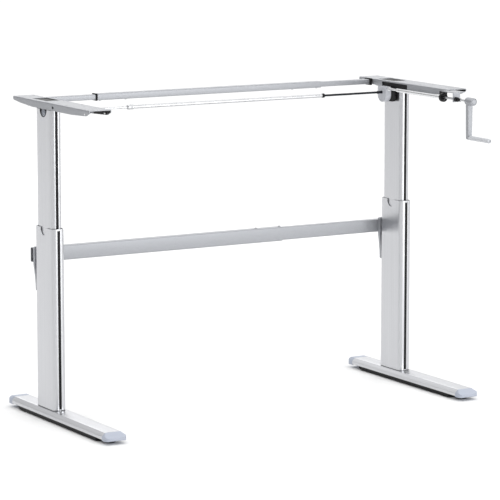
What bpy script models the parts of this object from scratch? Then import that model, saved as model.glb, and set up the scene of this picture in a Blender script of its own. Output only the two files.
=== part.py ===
"""Hand-cranked, height-adjustable desk frame: two telescopic legs on flat feet, joined by two
telescopic crossbars, with a crank, a gear head on each leg and a cross shaft that lifts both.

The origin is at the bottom centre of the frame. +X runs from the left leg to the right leg, the
user sits at -Y, and +Z is up. Each leg is modelled round the centre line of its own column.
"""

import math

import bmesh
import bpy
from mathutils import Matrix

# Driving dimensions, in metres
LEG_SPACING = 1.390
COLUMN_Y = 0.1996
GAP = 0.0003
WALL = 0.0025
OUTER_X = 0.048
OUTER_Y = 0.1355
OUTER_R = 0.016
OUTER_BOTTOM = 0.039
OUTER_TOP = 0.657
OUTER_NOTCH_HALF = 0.0205
OUTER_NOTCH_BOTTOM = 0.6305
INNER_X = 0.040
INNER_Y = 0.117
INNER_R = 0.014
INNER_BOTTOM = 0.445
INNER_TOP = 1.055
INNER_NOTCH_HALF = 0.0255
INNER_NOTCH_BOTTOM = 1.029
GROOVE_WIDTH = 0.010
GROOVE_DEPTH = 0.0014
FOOT_FRONT = -0.446
FOOT_REAR = 0.2265
FOOT_BOTTOM = 0.0152
FOOT_TOP = 0.0375
FOOT_HALF = 0.0395
FOOT_SIDE_TOP = 0.0255
FOOT_BEVEL_TOP = (0.0290, 0.0355)
FOOT_FLAT_HALF = 0.0280
FOOT_WALL = 0.0022
CAP_LENGTH = 0.0315
CAP_BOTTOM = 0.012
CAP_LIP_TOP = 0.016
LEVELLER_FRONT = -0.4255
LEVELLER_REAR = 0.205
RAIL_HALF = 0.040
RAIL_BOTTOM = 1.061
RAIL_TOP = 1.0855
RAIL_FRONT = -0.379
RAIL_REAR = 0.188
RAIL_UNDERSIDE = (
    (RAIL_FRONT, 1.0761),
    (-0.354, 1.0655),
    (-0.250, RAIL_BOTTOM),
    (0.040, RAIL_BOTTOM),
    (0.134, 1.0672),
    (0.182, 1.0725),
    (RAIL_REAR, 1.0770),
)
RAIL_OPENING_X = (-0.022, 0.030)
RAIL_OPENING_Y = (-0.030, 0.077)
RAIL_WINDOW_Y = (-0.127, 0.036)
RAIL_WINDOW_TOP = 1.080
RAIL_SLOT_SIZE = (0.013, 0.008)
RAIL_SLOT_AT = (-0.1121, 1.0712)
SCREW_HOLE_R = 0.0035
SCREW_HOLES = ((-0.028, -0.19), (0.028, -0.19), (-0.028, 0.165), (0.028, 0.165))
HOUSING_X = (-0.0172, 0.0172)
HOUSING_Y = (-0.044, 0.044)
HOUSING_BOTTOM = 1.012
CARRIER_X = (-0.036, 0.036)
CARRIER_Y = (-0.127, 0.080)
CARRIER_BOTTOM = 1.0615
NECK_R = 0.015
BLOCK_X = (-0.0416, -0.0248)
BLOCK_Y = (-0.030, 0.030)
BLOCK_Z = (1.013, 1.0640)
LOWER_BAR_Y = 0.0933
LOWER_BAR_Z = 0.5507
LOWER_BAR_END = 0.961
LOWER_BAR_OUTER_SIZE = (0.030, 0.050)
LOWER_BAR_INNER_SIZE = (0.0254, 0.0454)
LOWER_BAR_OVERLAP = 0.020
LOWER_BAR_INNER_START = -0.770
LOWER_SCREWS_X = (0.858, 0.955)
BRACKET_HALF = 0.025
BRACKET_TAPER = 0.008
BRACKET_TOP = 0.582
BRACKET_SHOULDER = 0.522
BRACKET_BOTTOM = 0.430
UPPER_BAR_Y = 0.120
UPPER_BAR_Z = 1.0733
SLEEVE_START = 0.239
SLEEVE_END = 1.136
SLEEVE_SIZE = (0.030, 0.0222)
UPPER_TUBE_SIZE = (0.025, 0.0175)
UPPER_TUBE_HOLE = (0.0256, 0.0181)
COLLAR_SIZE = (0.034, 0.0243)
COLLAR_LENGTH = 0.0047
FLANGE_SIZE = (0.040, 0.0245)
FLANGE_START = -0.0480
LEFT_TUBE_END = 0.450
RIGHT_TUBE_START = -0.590
SLEEVE_SCREWS_X = (0.2545, 0.3544, 1.024, 1.125)
SHAFT_Z = 1.0455
ROD_R = 0.004
SHAFT_R = 0.0065
SPINDLE_R = 0.006
SPINDLE_BOTTOM = 0.470
NUT_BOTTOM = 0.585
NUT_TOP = 0.615
NUT_R = 0.013
NUT_TUBE_R = 0.010
NUT_TUBE_BORE_R = 0.008
GLIDE_BOTTOM = 0.600
COUPLING_START = 0.2977
SHAFT_TUBE_START = 0.3213
SHAFT_TUBE_END = 1.0733
COUPLING_R = 0.0085
TUBE_BORE_R = 0.0047
BUSH_R = 0.0075
HEX_START = -0.640
HEX_END = -0.080
DRUM_R = 0.027
DRUM_Z = 1.038
DRUM_X = (-0.0643, -0.0419)
CLAMP_R = 0.0155
CLAMP_FRONT = -0.380
CLAMP_BACK = -0.368
LUG_BACK = -0.345
LUG_Z = (1.0662, 1.078)
PLATE_FRONT = -0.4505
PLATE_BACK = -0.448
PLATE_BOTTOM = 1.049
BEARING_R = 0.008
NOSE_R = 0.00525
NOSE_START = -0.463
NOSE_END = -0.481
CRANK_X = -0.0533
CRANK_Z = 1.0588
CRANK_RADIUS = 0.1248
CRANK_TUBE_END = -0.372
HUB_BACK = -0.520
HUB_FRONT = -0.561
HUB_R = 0.013
ARM_Y = (-0.525, -0.5404)
ARM_TOP_HALF = 0.0093
ARM_END_HALF = 0.0075
PIN_END = -0.6515
GRIP_R = 0.0083
GRIP_BACK = -0.5407
GRIP_FRONT = -0.6575

AXES = {
    "X": Matrix(((0, 0, 1, 0), (1, 0, 0, 0), (0, 1, 0, 0), (0, 0, 0, 1))),
    "Y": Matrix(((1, 0, 0, 0), (0, 0, -1, 0), (0, 1, 0, 0), (0, 0, 0, 1))),
    "Z": Matrix.Identity(4),
}
TURNED_AXES = {
    "X": Matrix.Rotation(math.pi / 2, 4, "Y"),
    "Y": Matrix.Rotation(-math.pi / 2, 4, "X"),
    "Z": Matrix.Identity(4),
}
SILVER = ("silver_powder_coat", (0.62, 0.62, 0.63), 0.2, 0.45)
ALUMINIUM = ("anodised_aluminium", (0.72, 0.72, 0.72), 1.0, 0.35)
PALE = ("pale_grey_plastic", (0.60, 0.62, 0.68), 0.0, 0.5)
BLACK = ("black_plastic", (0.015, 0.015, 0.016), 0.0, 0.45)
STEEL = ("bright_steel", (0.62, 0.62, 0.60), 1.0, 0.25)
DARK = ("blackened_steel", (0.03, 0.03, 0.032), 1.0, 0.4)
RUBBER = ("black_rubber", (0.02, 0.02, 0.02), 0.0, 0.8)


def new_collection(name):
    collection = bpy.data.collections.new(name)
    bpy.context.scene.collection.children.link(collection)
    return collection


def body(name, parent, location):
    """An empty that one moving body's pieces hang on, placed on its joint's axis."""
    empty = bpy.data.objects.new(name, None)
    empty.empty_display_size = 0.05
    empty.location = location
    empty.parent = parent
    FRAME.objects.link(empty)
    return empty


def mesh_object(name, mesh):
    obj = bpy.data.objects.new(name, mesh)
    FRAME.objects.link(obj)
    return obj


def applied(name, source, turn):
    """A plain mesh of an object with its modifiers or curve settings applied, turned to its axis."""
    graph = bpy.context.evaluated_depsgraph_get()
    mesh = bpy.data.meshes.new_from_object(source.evaluated_get(graph))
    mesh.name = name
    mesh.transform(turn)
    bm = bmesh.new()
    bm.from_mesh(mesh)
    bmesh.ops.remove_doubles(bm, verts=bm.verts, dist=1e-6)
    bmesh.ops.recalc_face_normals(bm, faces=bm.faces)
    bm.to_mesh(mesh)
    bm.free()
    mesh.shade_smooth()
    mesh.set_sharp_from_angle(angle=math.radians(32))
    bpy.data.objects.remove(source)
    return mesh_object(name, mesh)


def extruded(name, outlines, along, start, end):
    """A prism from one closed outline, or a tube from an outer and an inner one.

    Outlines are (x, y) for a prism along Z, (y, z) along X and (x, z) along Y.
    """
    curve = bpy.data.curves.new(name, "CURVE")
    curve.dimensions = "2D"
    curve.fill_mode = "BOTH"
    curve.extrude = abs(end - start) / 2
    for outline in outlines:
        spline = curve.splines.new("POLY")
        spline.points.add(len(outline) - 1)
        for point, (u, v) in zip(spline.points, outline):
            point.co = (u, v, 0, 1)
        spline.use_cyclic_u = True
    source = mesh_object(name + "_outline", curve)
    bpy.context.view_layer.update()
    middle = (start + end) / 2
    shift = Matrix.Translation([middle * (axis == along) for axis in "XYZ"])
    return applied(name, source, shift @ AXES[along])


def turned(name, profile, along, at=(0, 0, 0), steps=32, closed=False):
    """A turned shape; the profile is (radius, position along the axis), outer side downward."""
    mesh = bpy.data.meshes.new(name + "_profile")
    points = [(radius, 0, position) for radius, position in profile]
    edges = [(i, i + 1) for i in range(len(points) - 1)]
    if closed:
        edges.append((len(points) - 1, 0))
    mesh.from_pydata(points, edges, [])
    source = mesh_object(name + "_source", mesh)
    screw = source.modifiers.new("Screw", "SCREW")
    screw.steps = steps
    screw.render_steps = steps
    screw.use_merge_vertices = True
    screw.merge_threshold = 1e-5
    bpy.context.view_layer.update()
    return applied(name, source, Matrix.Translation(at) @ TURNED_AXES[along])


def ring(name, outer, inner, along, start, end, at=(0, 0, 0)):
    """A round tube from start to end along its axis."""
    low, high = min(start, end), max(start, end)
    profile = [(outer, high), (outer, low), (inner, low), (inner, high)]
    return turned(name, profile, along, at, closed=True)


def cylinder(name, radius, along, start, end, at=(0, 0, 0), segments=24):
    """A round bar from start to end along its axis."""
    bm = bmesh.new()
    bmesh.ops.create_cone(
        bm,
        cap_ends=True,
        segments=segments,
        radius1=radius,
        radius2=radius,
        depth=abs(end - start),
        matrix=Matrix.Translation(at)
        @ TURNED_AXES[along]
        @ Matrix.Translation((0, 0, (start + end) / 2)),
    )
    mesh = bpy.data.meshes.new(name)
    bm.to_mesh(mesh)
    bm.free()
    mesh.shade_smooth()
    mesh.set_sharp_from_angle(angle=math.radians(32))
    return mesh_object(name, mesh)


def box(name, x, y, z):
    """A box between two positions on each axis."""
    bm = bmesh.new()
    bmesh.ops.create_cube(bm, size=1)
    middle = Matrix.Translation([sum(side) / 2 for side in (x, y, z)])
    size = Matrix.Diagonal([abs(side[1] - side[0]) for side in (x, y, z)] + [1])
    bm.transform(middle @ size)
    mesh = bpy.data.meshes.new(name)
    bm.to_mesh(mesh)
    bm.free()
    return mesh_object(name, mesh)


def combine(obj, others, operation):
    """Boolean of an object with others that share its frame."""
    for other in others:
        FRAME.objects.unlink(other)
        CUTTERS.objects.link(other)
        other.hide_render = True
        other.display_type = "WIRE"
        modifier = obj.modifiers.new(operation.title(), "BOOLEAN")
        modifier.operation = operation
        modifier.object = other
    return obj


def finish(obj, parent, look):
    """Hangs a piece on its body, with its own material."""
    name, colour, metallic, roughness = look
    material = bpy.data.materials.new(f"{obj.name}_{name}")
    material.use_nodes = True
    shader = material.node_tree.nodes["Principled BSDF"]
    shader.inputs["Base Color"].default_value = (*colour, 1)
    shader.inputs["Metallic"].default_value = metallic
    shader.inputs["Roughness"].default_value = roughness
    obj.data.materials.clear()
    obj.data.materials.append(material)
    obj.parent = parent
    for modifier in obj.modifiers:
        modifier.object.parent = parent
    return obj


def arc(centre, radius, start, end, steps):
    """Points on an arc, from start to end in degrees."""
    angles = [math.radians(start + (end - start) * i / steps) for i in range(steps + 1)]
    return [(centre[0] + radius * math.cos(a), centre[1] + radius * math.sin(a)) for a in angles]


def rounded_rect(width, height, radius, steps=6, centre=(0, 0)):
    points = []
    for turn, (sx, sy) in enumerate(((1, 1), (-1, 1), (-1, -1), (1, -1))):
        corner = (
            centre[0] + sx * (width / 2 - radius),
            centre[1] + sy * (height / 2 - radius),
        )
        points += arc(corner, radius, 90 * turn, 90 * turn + 90, steps)
    return points


def column_outlines(size_x, size_y, radius, wall=WALL):
    inner = rounded_rect(size_x - 2 * wall, size_y - 2 * wall, radius - wall, 8)
    return [rounded_rect(size_x, size_y, radius, 8), inner]


def notch_outline(half_width, bottom, top):
    """A slot with a round bottom, open at the top."""
    floor = arc((0, bottom + half_width), half_width, 180, 360, 16)
    return floor + [(half_width, top), (-half_width, top)]


def column(name, size, radius, bottom, top, notch_half, notch_bottom):
    """A column profile with a groove down its front and a notch in each side at its top."""
    size_x, size_y = size
    tube = extruded(name, column_outlines(size_x, size_y, radius), "Z", bottom, top)
    front = -size_y / 2
    groove = box(
        name + "_groove",
        (-GROOVE_WIDTH / 2, GROOVE_WIDTH / 2),
        (front - 0.005, front + GROOVE_DEPTH),
        (bottom - 0.01, top + 0.01),
    )
    outline = notch_outline(notch_half, notch_bottom, top + 0.01)
    notch = extruded(name + "_notch", [outline], "X", -size_x, size_x)
    return combine(tube, [groove, notch], "DIFFERENCE")


def groove_strip(name, size_y, bottom, top):
    """The plastic strip that lines a column's front groove."""
    half = GROOVE_WIDTH / 2 - GAP
    depth = (-size_y / 2 + 0.0001, -size_y / 2 + GROOVE_DEPTH - GAP)
    return box(name, (-half, half), depth, (bottom, top))


def foot_section(inset=0.0):
    """Half a foot's cross-section, bottom to top, mirrored to the whole."""
    slope = inset * 0.45
    half = [
        (FOOT_HALF - inset, FOOT_BOTTOM + inset),
        (FOOT_HALF - inset, FOOT_SIDE_TOP - slope),
        (FOOT_BEVEL_TOP[0] - slope, FOOT_BEVEL_TOP[1] - inset),
        (FOOT_FLAT_HALF - slope, FOOT_TOP - inset),
    ]
    return half + [(-x, z) for x, z in reversed(half)]


def foot(name):
    """The foot's hollow profile, with a hole for each leveller's stem."""
    beam = extruded(name, [foot_section(), foot_section(FOOT_WALL)], "Y", FOOT_FRONT, FOOT_REAR)
    holes = [
        cylinder(f"{name}_hole_{i}", 0.0045, "Z", 0.010, 0.028, (0, y, 0))
        for i, y in enumerate((LEVELLER_FRONT, LEVELLER_REAR))
    ]
    return combine(beam, holes, "DIFFERENCE")


def foot_cap(name, seam, way, drop, corner):
    """An end cap: the foot's section, rounded down at its end and at its corners in plan."""
    end = seam + way * CAP_LENGTH
    rounding = CAP_LENGTH * drop
    start = end - way * rounding
    height = FOOT_TOP - CAP_LIP_TOP
    slope = [math.radians(90 * i / 8) for i in range(9)]
    profile = [(seam, CAP_BOTTOM), (seam, FOOT_TOP)] if drop < 1 else [(seam, CAP_BOTTOM)]
    profile += [
        (start + way * rounding * math.sin(a), CAP_LIP_TOP + height * math.cos(a)) for a in slope
    ]
    profile.append((end, CAP_BOTTOM))
    cap = extruded(name, [profile], "X", -0.05, 0.05)
    middle = (seam + end) / 2 - way * corner
    plan = rounded_rect(2 * FOOT_HALF, CAP_LENGTH + 2 * corner, corner, 8, (0, middle))
    in_plan = extruded(name + "_plan", [plan], "Z", 0.0, 0.05)
    section = [(x, z if z > FOOT_BOTTOM else CAP_BOTTOM) for x, z in foot_section()]
    in_section = extruded(name + "_section", [section], "Y", seam - 0.1, seam + 0.1)
    return combine(cap, [in_plan, in_section], "INTERSECT")


def leveller(name):
    """A foot glide: a round pad on a threaded stem."""
    profile = [
        (0, 0.030),
        (ROD_R, 0.030),
        (ROD_R, 0.0147),
        (0.014, 0.0146),
        (0.0195, 0.0115),
        (0.020, 0.0100),
        (0.020, 0.0015),
        (0.0185, 0),
        (0, 0),
    ]
    return turned(name, profile, "Z")


def bar_bracket(name, thickness_end):
    """The plate on the back of a column that carries the lower crossbar."""
    steps = 8
    side = [(BRACKET_HALF, BRACKET_TOP), (BRACKET_HALF, BRACKET_SHOULDER)]
    for i in range(1, steps + 1):
        t = i / steps
        x = BRACKET_HALF - BRACKET_TAPER * math.sin(t * math.pi / 2)
        side.append((x, BRACKET_SHOULDER + (BRACKET_BOTTOM - BRACKET_SHOULDER) * t))
    outline = side + [(-x, z) for x, z in reversed(side)]
    return extruded(name, [outline], "Y", OUTER_Y / 2 + GAP, thickness_end)


def top_rail(name, inner):
    """A channel, open below, that the desktop is screwed to. inner is the side of the other leg."""
    side_view = [(RAIL_FRONT, RAIL_TOP), *RAIL_UNDERSIDE, (RAIL_REAR, RAIL_TOP)]
    rail = extruded(name, [side_view], "X", -RAIL_HALF, RAIL_HALF)
    half = RAIL_HALF - WALL
    hollow_top = RAIL_TOP - WALL
    hollow = box(
        name + "_hollow",
        (-half, half),
        (RAIL_FRONT - 0.01, RAIL_REAR + 0.01),
        (RAIL_BOTTOM - 0.01, hollow_top),
    )
    opening = box(
        name + "_opening",
        (RAIL_OPENING_X[0] * inner, RAIL_OPENING_X[1] * inner),
        RAIL_OPENING_Y,
        (hollow_top - 0.005, RAIL_TOP + 0.005),
    )
    side_window = box(
        name + "_side_window",
        (inner * (half - 0.005), inner * (RAIL_HALF + 0.005)),
        RAIL_WINDOW_Y,
        (RAIL_BOTTOM - 0.01, RAIL_WINDOW_TOP),
    )
    slot = rounded_rect(*RAIL_SLOT_SIZE, 0.0039, 6, RAIL_SLOT_AT)
    side_slot = extruded(name + "_slot", [slot], "X", -inner * 0.045, -inner * 0.030)
    holes = [
        cylinder(f"{name}_hole_{i}", SCREW_HOLE_R, "Z", 1.07, 1.10, (x, y, 0))
        for i, (x, y) in enumerate(SCREW_HOLES)
    ]
    return combine(rail, [hollow, opening, side_window, side_slot, *holes], "DIFFERENCE")


def gear_head(name, inner, with_block):
    """The gear housing in a column's top and the block on it that carries the rail."""
    housing = box(name, HOUSING_X, HOUSING_Y, (HOUSING_BOTTOM, 1.066))
    head = box(name + "_head", CARRIER_X, CARRIER_Y, (CARRIER_BOTTOM, RAIL_TOP - WALL - GAP))
    joined = [head]
    reach = 0.030
    if with_block:
        reach = 0.050
        joined.append(cylinder(name + "_neck", NECK_R, "X", -0.030, -0.010, (0, 0, SHAFT_Z), 32))
        joined.append(box(name + "_block", BLOCK_X, BLOCK_Y, BLOCK_Z))
    combine(housing, joined, "UNION")
    chamber = box(name + "_chamber", (-0.0145, 0.0145), (-0.0145, 0.0145), (1.028, 1.0585))
    bore = cylinder(name + "_bore", 0.0075, "Z", 1.005, 1.035)
    shaft_bore = cylinder(name + "_shaft_bore", 0.0047, "X", 0, inner * reach, (0, 0, SHAFT_Z))
    return combine(housing, [chamber, bore, shaft_bore], "DIFFERENCE")


def rect_tube(name, centre, size, radius, wall, start, end):
    """A rectangular tube along X; size is (depth, height)."""
    depth, height = size
    outer = rounded_rect(depth, height, radius, 5, centre)
    inner = rounded_rect(depth - 2 * wall, height - 2 * wall, max(radius - wall, 0.0008), 5, centre)
    return extruded(name, [outer, inner], "X", start, end)


def screw_head(name, x, y, z, way):
    """A round-headed clamp screw's head, on a surface that faces way along Z."""
    base = z + way * GAP
    profile = [(0, 0.0035), (0.003, 0.0033), (0.0045, 0.0018), (0.0045, 0), (0, 0)]
    if way < 0:
        profile = [(radius, -height) for radius, height in reversed(profile)]
    return turned(name, profile, "Z", (x, y, base), 20)


def gear_cone(way):
    """Profile of a mitre gear and its hub: the cone points to the shafts' crossing point."""
    cone = [(0, 0.0045), (0.0038, 0.0045), (0.0118, 0.0125), (0.006, 0.0128), (0.006, 0.0142)]
    return [(radius, way * position) for radius, position in cone]


def leg_base(side, base, bracket_end):
    """Foot, levellers' seats, outer column and what is fixed to it."""
    finish(foot(f"{side}_foot"), base, ALUMINIUM)
    front = foot_cap(f"{side}_foot_front_cap", FOOT_FRONT - GAP, -1, 1.0, 0.015)
    finish(front, base, PALE)
    rear = foot_cap(f"{side}_foot_rear_cap", FOOT_REAR + GAP, 1, 0.25, 0.008)
    finish(rear, base, PALE)
    outlines = column_outlines(OUTER_X, OUTER_Y, OUTER_R)
    gasket = extruded(
        f"{side}_column_gasket", outlines, "Z", FOOT_TOP + GAP, OUTER_BOTTOM - GAP
    )
    finish(gasket, base, BLACK)
    outer = column(
        f"{side}_outer_column",
        (OUTER_X, OUTER_Y),
        OUTER_R,
        OUTER_BOTTOM,
        OUTER_TOP,
        OUTER_NOTCH_HALF,
        OUTER_NOTCH_BOTTOM,
    )
    finish(outer, base, ALUMINIUM)
    strip = groove_strip(f"{side}_outer_strip", OUTER_Y, OUTER_BOTTOM + 0.003, OUTER_TOP - 0.006)
    finish(strip, base, BLACK)
    glide_outline = rounded_rect(OUTER_X - 2 * WALL - 2 * GAP, OUTER_Y - 2 * WALL - 2 * GAP, 0.0132, 8)
    glide_hole = rounded_rect(INNER_X + 2 * GAP, INNER_Y + 2 * GAP, INNER_R + GAP, 8)
    glide_top = OUTER_TOP - 0.0025
    glide = extruded(f"{side}_column_glide", [glide_outline, glide_hole], "Z", GLIDE_BOTTOM, glide_top)
    slot = notch_outline(OUTER_NOTCH_HALF, OUTER_NOTCH_BOTTOM, OUTER_TOP + 0.01)
    combine(glide, [extruded(f"{side}_glide_notch", [slot], "X", -0.05, 0.05)], "DIFFERENCE")
    finish(glide, base, BLACK)
    nut_tube = ring(f"{side}_nut_tube", NUT_TUBE_R, NUT_TUBE_BORE_R, "Z", FOOT_TOP + GAP, NUT_BOTTOM - GAP)
    finish(nut_tube, base, STEEL)
    nut = ring(f"{side}_spindle_nut", NUT_R, SPINDLE_R + 0.0004, "Z", NUT_BOTTOM, NUT_TOP)
    finish(nut, base, BLACK)
    finish(bar_bracket(f"{side}_bar_bracket", bracket_end), base, SILVER)


def leg_top(side, top, inner):
    """Inner column, gear head and top rail."""
    tube = column(
        f"{side}_inner_column",
        (INNER_X, INNER_Y),
        INNER_R,
        INNER_BOTTOM,
        INNER_TOP,
        INNER_NOTCH_HALF,
        INNER_NOTCH_BOTTOM,
    )
    finish(tube, top, ALUMINIUM)
    strip = groove_strip(f"{side}_inner_strip", INNER_Y, INNER_BOTTOM + 0.003, INNER_TOP - 0.001)
    finish(strip, top, BLACK)
    finish(gear_head(f"{side}_gear_head", inner, inner < 0), top, BLACK)
    finish(top_rail(f"{side}_top_rail", inner), top, SILVER)


def spindle(side, parent):
    """The lifting screw, hung from its mitre gear."""
    gear = [(radius, SHAFT_Z + position) for radius, position in gear_cone(-1)]
    chamfer = 0.0015
    profile = gear + [
        (SPINDLE_R, SPINDLE_BOTTOM + chamfer),
        (SPINDLE_R - chamfer, SPINDLE_BOTTOM),
        (0, SPINDLE_BOTTOM),
    ]
    finish(turned(f"{side}_spindle", profile, "Z", steps=24), parent, STEEL)


def lower_crossbar(left, right):
    """Two tubes, one inside the other, between the columns' brackets."""
    centre = (LOWER_BAR_Y, LOWER_BAR_Z)
    outer = rect_tube(
        "lower_bar_outer", centre, LOWER_BAR_OUTER_SIZE, 0.004, 0.002, -LOWER_BAR_OVERLAP, LOWER_BAR_END
    )
    finish(outer, left, SILVER)
    inner = rect_tube(
        "lower_bar_inner",
        centre,
        LOWER_BAR_INNER_SIZE,
        0.0025,
        0.0016,
        LOWER_BAR_INNER_START,
        LOWER_BAR_OVERLAP,
    )
    finish(inner, right, SILVER)
    top = LOWER_BAR_Z + LOWER_BAR_OUTER_SIZE[1] / 2
    for i, x in enumerate(LOWER_SCREWS_X):
        screw = screw_head(f"lower_bar_screw_{i + 1}", x, LOWER_BAR_Y, top, 1)
        finish(screw, left, STEEL)


def upper_crossbar(left, right):
    """A sleeve over two thinner tubes, between the rails."""
    centre = (UPPER_BAR_Y, UPPER_BAR_Z)
    sleeve = rect_tube(
        "crossbar_sleeve", centre, SLEEVE_SIZE, 0.003, 0.0019, SLEEVE_START, SLEEVE_END
    )
    finish(sleeve, left, SILVER)
    left_tube = rect_tube(
        "crossbar_left_tube", centre, UPPER_TUBE_SIZE, 0.002, 0.0015, RAIL_HALF + GAP, LEFT_TUBE_END
    )
    finish(left_tube, left, SILVER)
    tube_hole = rounded_rect(*UPPER_TUBE_HOLE, 0.002, 5, centre)
    collar = extruded(
        "crossbar_collar",
        [rounded_rect(*COLLAR_SIZE, 0.003, 5, centre), tube_hole],
        "X",
        SLEEVE_START - GAP - COLLAR_LENGTH,
        SLEEVE_START - GAP,
    )
    finish(collar, left, BLACK)
    right_tube = rect_tube(
        "crossbar_right_tube", centre, UPPER_TUBE_SIZE, 0.002, 0.0015, RIGHT_TUBE_START, -RAIL_HALF - 0.002
    )
    finish(right_tube, right, SILVER)
    flange_outer = rounded_rect(*FLANGE_SIZE, 0.002, 5, centre)
    flange = extruded(
        "crossbar_flange", [flange_outer, tube_hole], "X", FLANGE_START, -RAIL_HALF - 0.0015
    )
    finish(flange, right, BLACK)
    for i, x in enumerate(SLEEVE_SCREWS_X):
        under = UPPER_BAR_Z - SLEEVE_SIZE[1] / 2
        screw = screw_head(f"crossbar_screw_{i + 1}", x, UPPER_BAR_Y, under, -1)
        finish(screw, left, STEEL)


def cross_shaft(shaft, hex_shaft):
    """Rod, coupling and tube from the left leg, and the hexagonal rod that slides in the tube."""
    rod_end = SHAFT_TUBE_START - 0.0008
    gear = [(radius, -position) for radius, position in gear_cone(-1)]
    profile = [(0, rod_end), (ROD_R, rod_end), (ROD_R, 0.0142), *reversed(gear)]
    finish(turned("cross_shaft_rod", profile, "X", steps=24), shaft, STEEL)
    coupling = ring("shaft_coupling", COUPLING_R, ROD_R + GAP, "X", COUPLING_START, SHAFT_TUBE_START - GAP)
    finish(coupling, shaft, STEEL)
    tube = ring("cross_shaft_tube", SHAFT_R, TUBE_BORE_R, "X", SHAFT_TUBE_START, SHAFT_TUBE_END)
    finish(tube, shaft, STEEL)
    bush = ring("shaft_bush", BUSH_R, 0.0044, "X", SHAFT_TUBE_END + GAP, SHAFT_TUBE_END + 0.010)
    finish(bush, shaft, BLACK)
    hexagon = arc((0, 0), 0.0035 / math.cos(math.pi / 6), 0, 300, 5)
    hex_rod = extruded("hex_shaft", [hexagon], "X", HEX_START, HEX_END)
    sleeve_r, sleeve_end, sleeve_start = 0.005, -0.0613, -0.0843
    end_profile = [
        *reversed(gear_cone(1)),
        (ROD_R, 0.0040),
        (ROD_R, sleeve_end),
        (sleeve_r, sleeve_end),
        (sleeve_r, sleeve_start),
        (0, sleeve_start),
    ]
    end_profile = [(0, 0.0142), *[p for p in end_profile if p[0] > 0 or p[1] < 0]]
    end = turned("hex_shaft_end", end_profile, "X", steps=24)
    finish(combine(hex_rod, [end], "UNION"), hex_shaft, DARK)


def crank_housing(top):
    """The drum that takes the crank's shaft, its front bearing and the clamp beside the rail."""
    outline = arc((0, DRUM_Z), DRUM_R, 180, 360, 20)
    outline += arc((0.023, 1.062), 0.004, 0, 90, 4) + arc((-0.023, 1.062), 0.004, 90, 180, 4)
    drum = extruded("gearbox_drum", [outline], "X", *DRUM_X)
    at = (CRANK_X, 0, CRANK_Z)
    bores = [
        cylinder("drum_shaft_bore", 0.0045, "X", -0.07, -0.04, (0, 0, SHAFT_Z)),
        cylinder("drum_sleeve_bore", 0.0055, "X", -0.07, -0.0610, (0, 0, SHAFT_Z)),
        cylinder("drum_crank_bore", 0.0045, "Y", -0.05, 0.0152, at),
    ]
    finish(combine(drum, bores, "DIFFERENCE"), top, PALE)
    clamp = cylinder("crank_clamp", CLAMP_R, "Y", CLAMP_FRONT, CLAMP_BACK, at)
    lug_x = (-0.0500, -RAIL_HALF - GAP)
    lug = box("crank_clamp_lug", lug_x, (CLAMP_FRONT, LUG_BACK), LUG_Z)
    combine(clamp, [lug], "UNION")
    bores = [
        cylinder("clamp_tube_bore", SHAFT_R + GAP, "Y", -0.3725, -0.350, at),
        cylinder("clamp_rod_bore", ROD_R + 0.0004, "Y", -0.420, -0.365, at),
    ]
    finish(combine(clamp, bores, "DIFFERENCE"), top, BLACK)
    left, right, inside = CRANK_X - 0.011, -0.014, -RAIL_HALF + WALL + GAP
    rail_end, tongue_end = RAIL_FRONT - GAP, -0.340
    plan = [
        (left, PLATE_FRONT),
        (right, PLATE_FRONT),
        (right, tongue_end),
        (inside, tongue_end),
        (inside, rail_end),
        (left, rail_end),
    ]
    under = RAIL_TOP - WALL - GAP
    flange = extruded("crank_bracket", [plan], "Z", under - WALL, under)
    plate_x = (left, CRANK_X + 0.019)
    plate = box("crank_bracket_plate", plate_x, (PLATE_FRONT, PLATE_BACK), (PLATE_BOTTOM, under))
    combine(flange, [plate], "UNION")
    hole = cylinder("crank_bracket_hole", ROD_R + 0.0004, "Y", -0.46, -0.44, at)
    finish(combine(flange, [hole], "DIFFERENCE"), top, SILVER)
    profile = [
        (BEARING_R, PLATE_FRONT - GAP),
        (BEARING_R, NOSE_START),
        (NOSE_R, NOSE_START),
        (NOSE_R, NOSE_END),
        (ROD_R + 0.0004, NOSE_END),
        (ROD_R + 0.0004, PLATE_FRONT - GAP),
    ]
    finish(turned("crank_bearing", profile, "Y", at, 24, True), top, BLACK)


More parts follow.
